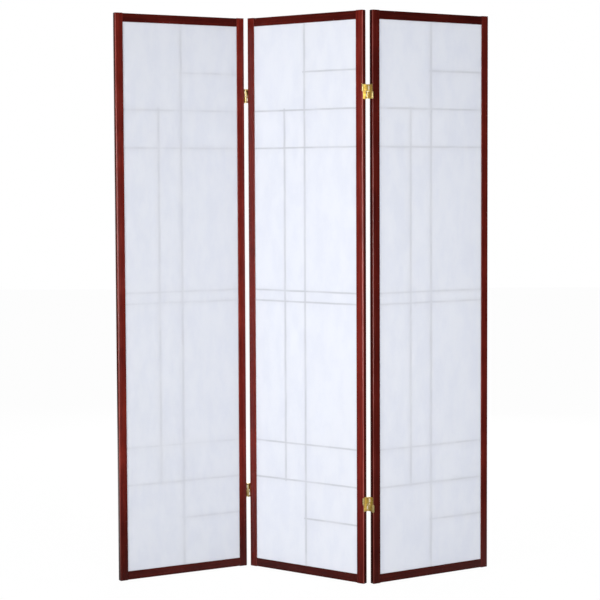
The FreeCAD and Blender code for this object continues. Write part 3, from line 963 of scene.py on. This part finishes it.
@dataclass
class PaperSheet:
    """The paper of a panel, stretched over the lattice and glued to it.

    The waves are in radians per metre, each drawn between the two numbers of its direction.
    """

    lattice: Lattice
    slack: float = 0.16 * MM
    reach: float = 22 * MM
    pitch: float = 13 * MM
    clear: float = 2 * MM
    waves: int = 7
    wave_u: Pair = (25, 70)
    wave_w: Pair = (8, 30)
    even_share: float = 0.5
    wave_share: float = 0.2
    seed: int = 3

    def stations(self, edges: Sequence[float], lines: Sequence[float], width: float) -> np.ndarray:
        """Grid lines of the sheet along one side: evenly spaced, and along every glued strip.

        Args:
            edges: Where the sheet starts and ends.
            lines: Middles of the strips that it is glued to.
            width: Width of those strips.

        Returns:
            Rising distances.
        """
        even = np.linspace(*edges, int((edges[1] - edges[0]) / self.pitch) + 1)
        glued = np.concatenate([[line - width / 2, line, line + width / 2] for line in lines])
        clear = even[np.min(np.abs(even[:, None] - glued[None, :]), axis=1) > self.clear]
        keep = np.unique(np.concatenate([clear, glued, edges]))
        return keep[(keep >= edges[0]) & (keep <= edges[1])]

    def surface(self) -> Surface:
        """The sheet as a thin slab.

        Formula: its front bulges by slack times an even share plus slow sines in (u, w), times a
        mask that rises from 0 at the nearest glued strip or edge to 1 in the middle of a bay. The
        back follows the front, one paper thickness behind.

        Returns:
            Its surface in the panel's frame.
        """
        size, strips = self.lattice.sizes, self.lattice.strips
        edges_u, edges_w = ((a + strips.slip, b - strips.slip) for a, b in (size.seat, size.seat_up))
        lines_u = [self.lattice.side, self.lattice.centre]
        lines_w = self.lattice.bars["short"] + self.lattice.bars["full"]
        u = self.stations(edges_u, lines_u, strips.upright)
        w = self.stations(edges_w, lines_w, strips.bar)
        gap_u = np.min(np.abs(u[:, None] - [*size.opening, *lines_u]), axis=1)
        gap_w = np.min(np.abs(w[:, None] - [*size.opening_up, *lines_w]), axis=1)
        (left, right), (low, high) = size.opening, size.opening_up
        inside = np.outer((u > left) & (u < right), (w > low) & (w < high))
        mask = np.outer(np.clip(gap_u / self.reach, 0, 1), np.clip(gap_w / self.reach, 0, 1)) * inside
        mask = mask * mask * (3 - 2 * mask)
        chance = np.random.default_rng(self.seed)
        waves = np.zeros_like(mask)
        for _ in range(self.waves):
            pitch_u, pitch_w = chance.uniform(*self.wave_u), chance.uniform(*self.wave_w)
            phase_u, phase_w = chance.uniform(0, 2 * math.pi, 2)
            waves += np.outer(np.sin(pitch_u * u + phase_u), np.sin(pitch_w * w + phase_w))
        front = size.lip - self.slack * mask * (self.even_share + self.wave_share * waves)
        grid_u, grid_w = np.meshgrid(u, w, indexing="ij")
        near = np.stack([grid_u, front, grid_w], axis=-1)
        far = near + np.array([0.0, strips.paper, 0.0])
        count_u, count_w = len(u), len(w)
        number = np.arange(count_u * count_w).reshape(count_u, count_w)
        quads = np.stack([number[:-1, :-1], number[1:, :-1], number[1:, 1:], number[:-1, 1:]], axis=-1)
        front_faces = quads.reshape(-1, 4)
        back_faces = front_faces[:, ::-1] + number.size
        rim = np.concatenate([number[:, 0], number[-1, 1:], number[-2::-1, -1], number[0, -2:0:-1]])
        following = np.roll(rim, -1)
        rim_faces = np.stack([rim, rim + number.size, following + number.size, following], axis=1)
        faces = np.concatenate([front_faces, back_faces, rim_faces]).tolist()
        points = np.concatenate([near.reshape(-1, 3), far.reshape(-1, 3)])
        return Surface(points, [tuple(face) for face in faces], np.zeros(len(points)))


@dataclass(frozen=True)
class Look:
    """How one panel looks.

    Attributes:
        soft: Half the width over which the painted strip shadows fade.
        strength: How dark the painted strip shadows are.
        patchy: How much the painted strip shadows fade in random patches, from 0, evenly, to 1, gone in
            places.
        paper: Tone of the paper, different for each panel to make up for how brightly each is lit:
            painted light and shade.
        offset: Where in the grain and fibre patterns the panel lies.
        left, right: Tones of the stiles.
        top, bottom: Tones of the rails.
        feet: Tone of the stiles' feet as a share of the rest of them.
    """

    soft: float
    strength: float
    patchy: float
    paper: float
    offset: float
    left: float
    right: float
    top: float
    bottom: float
    feet: float


class PanelLook(Enum):
    """The looks of the three panels."""

    left = Look(2.8 * MM, 0.33, 0.75, 0.955, 0.0, 0.84, 0.98, 0.42, 0.37, 0.38)
    middle = Look(1.4 * MM, 0.84, 0.4, 0.985, 3.7, 0.84, 0.96, 0.46, 0.31, 0.60)
    right = Look(1.8 * MM, 0.27, 0.6, 1.035, 7.9, 0.50, 0.66, 0.35, 0.31, 0.70)


@dataclass
class Panel:
    """One panel of the screen: its frame, paper and lattice."""

    name: str
    sizes: FrameSizes = field(default_factory=FrameSizes)
    strips: LatticeSizes = field(default_factory=LatticeSizes)

    def build(self) -> None:
        """Makes every piece of the panel and sets it on its body."""
        stance = Stance.of(self.name, self.sizes)
        body = f"{self.name}_panel"
        look = PanelLook[self.name].value
        grain = {
            way: CherryLacquer().build(f"{body}_lacquer_{way.name.lower()}", stance, way, look)
            for way in Grain
        }

        def put(name: str, surface: Surface, slot: str, material: Material, tone: float = 1.0) -> None:
            """Sets one piece on the panel's body."""
            make_piece(stance.place(surface), Place(f"{body}_{name}", body, slot, material, tone))

        wood = WoodenFrame(self.sizes)
        for side, tone in {"left": look.left, "right": look.right}.items():
            put(f"{side}_stile", wood.stile(side), "lacquered_frame", grain[Grain.UPRIGHT], tone)
        for level, tone in {"top": look.top, "bottom": look.bottom}.items():
            put(f"{level}_rail", wood.rail(level), "lacquered_frame", grain[Grain.LEVEL], tone)
        lattice = Lattice(self.sizes, self.strips)
        strips = {"lattice_border": lattice.border(), **lattice.uprights(), **lattice.level_bars()}
        for name, surface in strips.items():
            way = Grain.LEVEL if name.endswith("bars") else Grain.UPRIGHT
            put(name, surface, "lacquered_lattice", grain[way])
        paper = ScreenPaper(lattice).build(f"{body}_paper", stance, look)
        put("paper", PaperSheet(lattice).surface(), "paper", paper)


@dataclass
class Hardware:
    """The hinges with their pins and screws, and the dowels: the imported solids, finished."""

    hinges: HingeBrass = HingeBrass()
    fasteners: HingeBrass = HingeBrass(roughness=0.22)
    dowels: BareWood = BareWood()

    def build(self) -> None:
        """Gives every brass and dowel node its material."""
        finishes = {
            "brass_hinges": self.hinges.build("hinge_brass"),
            "brass_pins_and_screws": self.fasteners.build("pin_and_screw_brass"),
            "bare_hardwood": self.dowels.build("dowel_wood"),
        }
        for part in frame["record"]["subparts"]:
            if material := finishes.get(part["material_slot"]):
                node = frame["nodes"][part["node"]]
                node.data.materials.clear()
                node.data.materials.append(material)
                log.info("%s: %s", node.name, material.name)


# ---- studio


@dataclass(frozen=True)
class Softbox:
    """A rectangular lamp: where it stands, what it lights and how strongly."""

    name: str
    at: Triple
    aim: Triple
    size: Pair
    watts: float

    def build(self) -> None:
        """Makes the lamp."""
        lamp = bpy.data.lights.new(self.name, "AREA")
        lamp.shape = "RECTANGLE"
        lamp.size, lamp.size_y = self.size
        lamp.energy = self.watts
        stand = put_in_scene(self.name, lamp)
        stand.location = self.at
        stand.visible_camera = False
        direction = Vector(self.aim) - Vector(self.at)
        stand.rotation_euler = direction.to_track_quat("-Z", "Y").to_euler()


@dataclass(frozen=True)
class Studio:
    """White floor and surroundings, lamps, and the camera of the photograph.

    The camera's place, its turns and its focal length, as a share of the picture's width, were
    solved from the edges of the frames for its own small shift.
    """

    camera_at: Triple = (0.0102, -5.1705, 1.2582)
    heading: float = 0.2705
    pitch: float = -3.107
    roll: float = -0.248
    focal_share: float = 2.7145
    shift_down: float = 0.05
    sensor: float = 36.0
    floor_half: float = 14.0
    floor_glow: float = 1.045
    floor_white: float = 0.92
    floor_grey: Colour = (0.6, 0.6, 0.6)
    mirrored_from: Pair = (-0.4, 0.8)
    mirrored_half: Pair = (3.4, 2.4)
    mirrored_dark: float = -0.8
    sky_behind: Pair = (5.0, -3.1)
    ambient: float = 0.42
    ambient_in_front: float = 0.05
    lamps: tuple[Softbox, ...] = (
        Softbox("key", (-3.15, -3.57, 1.0), (0.0, 0.0, 0.9), (1.2, 1.6), 120.0),
        Softbox("fill", (0.87, -2.75, 0.85), (0.0, 0.0, 0.85), (0.7, 1.1), 38.5),
        Softbox("back", (0.4, 3.2, 1.8), (0.0, 0.0, 0.9), (2.6, 2.0), 60.0),
    )

    def floor(self) -> None:
        """A white floor that keeps the screen's shadow, faintly.

        A gloss that mirrors it in front of the screen or beside it sees it darker: the white
        comes in over mirrored_from along y and goes over mirrored_half to either side.
        """
        half = self.floor_half
        mesh = bpy.data.meshes.new("floor")
        corners = [(-half, -half, 0), (half, -half, 0), (half, half, 0), (-half, half, 0)]
        mesh.from_pydata(corners, [], [(0, 1, 2, 3)])
        bench = Bench(bpy.data.materials.new("white_floor"))
        seen = bench.add("LightPath").outputs
        place = bench.add("SeparateXYZ", {0: bench.place(None)}).outputs
        near_middle = bench.ramp(bench.math("ABSOLUTE", place[0]), *self.mirrored_half)
        behind = bench.math("MULTIPLY", bench.ramp(place[1], *self.mirrored_from), near_middle)
        mirrored = bench.math("MULTIPLY", seen["Is Glossy Ray"], behind)
        shown = bench.math("MAXIMUM", seen["Is Camera Ray"], mirrored)
        shown = bench.math("MAXIMUM", shown, seen["Is Transmission Ray"])
        dark = bench.math("SUBTRACT", seen["Is Glossy Ray"], mirrored)
        grey = bench.scaled(self.floor_grey, bench.math("MULTIPLY_ADD", dark, self.mirrored_dark, 1.0))
        paint = bench.add("BsdfDiffuse", {"Color": grey}).outputs[0]
        white = bench.add("Emission", {"Color": WHITE, "Strength": self.floor_glow}).outputs[0]
        share = bench.math("MULTIPLY", shown, self.floor_white)
        mesh.materials.append(bench.finish("MixShader", {0: share, 1: paint, 2: white}))
        floor = put_in_scene("floor", mesh)

    def surroundings(self) -> None:
        """A world that is white to the camera and behind the screen, and dimmer as a lamp.

        A gloss that mirrors the room behind the camera or at the sides sees it dark. Formula: the
        white comes in by sky_behind[0] * y + sky_behind[1], kept from 0 to 1, where y is how far
        the ray points towards the back.
        """
        bench = Bench(bpy.data.worlds.new("studio"))
        seen = bench.add("LightPath").outputs
        towards = bench.add("TexCoord").outputs["Generated"]
        along = bench.add("SeparateXYZ", {0: towards}).outputs[1]
        back = bench.math("MULTIPLY_ADD", along, *self.sky_behind, clamp=True)
        mirrored = bench.math("MULTIPLY", seen["Is Glossy Ray"], back)
        direct = bench.math("MAXIMUM", seen["Is Camera Ray"], seen["Is Transmission Ray"])
        shown = bench.math("MAXIMUM", direct, mirrored)
        dim = bench.math("MULTIPLY", seen["Is Glossy Ray"], self.ambient_in_front - self.ambient)
        dim = bench.math("ADD", dim, self.ambient)
        rest = bench.math("MULTIPLY", bench.math("SUBTRACT", 1.0, shown), dim)
        sky = {"Color": WHITE, "Strength": bench.math("ADD", shown, rest)}
        bpy.context.scene.world = bench.finish("Background", sky)

    def camera(self) -> None:
        """The camera at the photograph's place, with its small shift and no depth of field."""
        data = bpy.data.cameras.new("camera")
        data.sensor_width = self.sensor
        data.lens = self.focal_share * self.sensor
        data.shift_y = -self.shift_down
        view = put_in_scene("camera", data)
        heading, pitch, roll = (math.radians(turn) for turn in (self.heading, self.pitch, self.roll))
        turn = (
            Matrix.Rotation(heading, 4, "Z")
            @ Matrix.Rotation(math.pi / 2 + pitch, 4, "X")
            @ Matrix.Rotation(roll, 4, "Z")
        )
        view.matrix_world = Matrix.Translation(self.camera_at) @ turn
        bpy.context.scene.camera = view

    def build(self) -> None:
        """Makes the floor, the surroundings, the lamps and the camera."""
        bpy.context.scene.view_settings.view_transform = "Standard"
        self.floor()
        self.surroundings()
        for lamp in self.lamps:
            lamp.build()
        self.camera()


def main() -> None:
    """Builds the screen and its studio."""
    logging.basicConfig(level=logging.INFO, format="%(name)s %(message)s")
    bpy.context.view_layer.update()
    Studio().build()
    for name in ("left", "middle", "right"):
        Panel(name).build()
    Hardware().build()


if __name__ == "__main__":
    main()
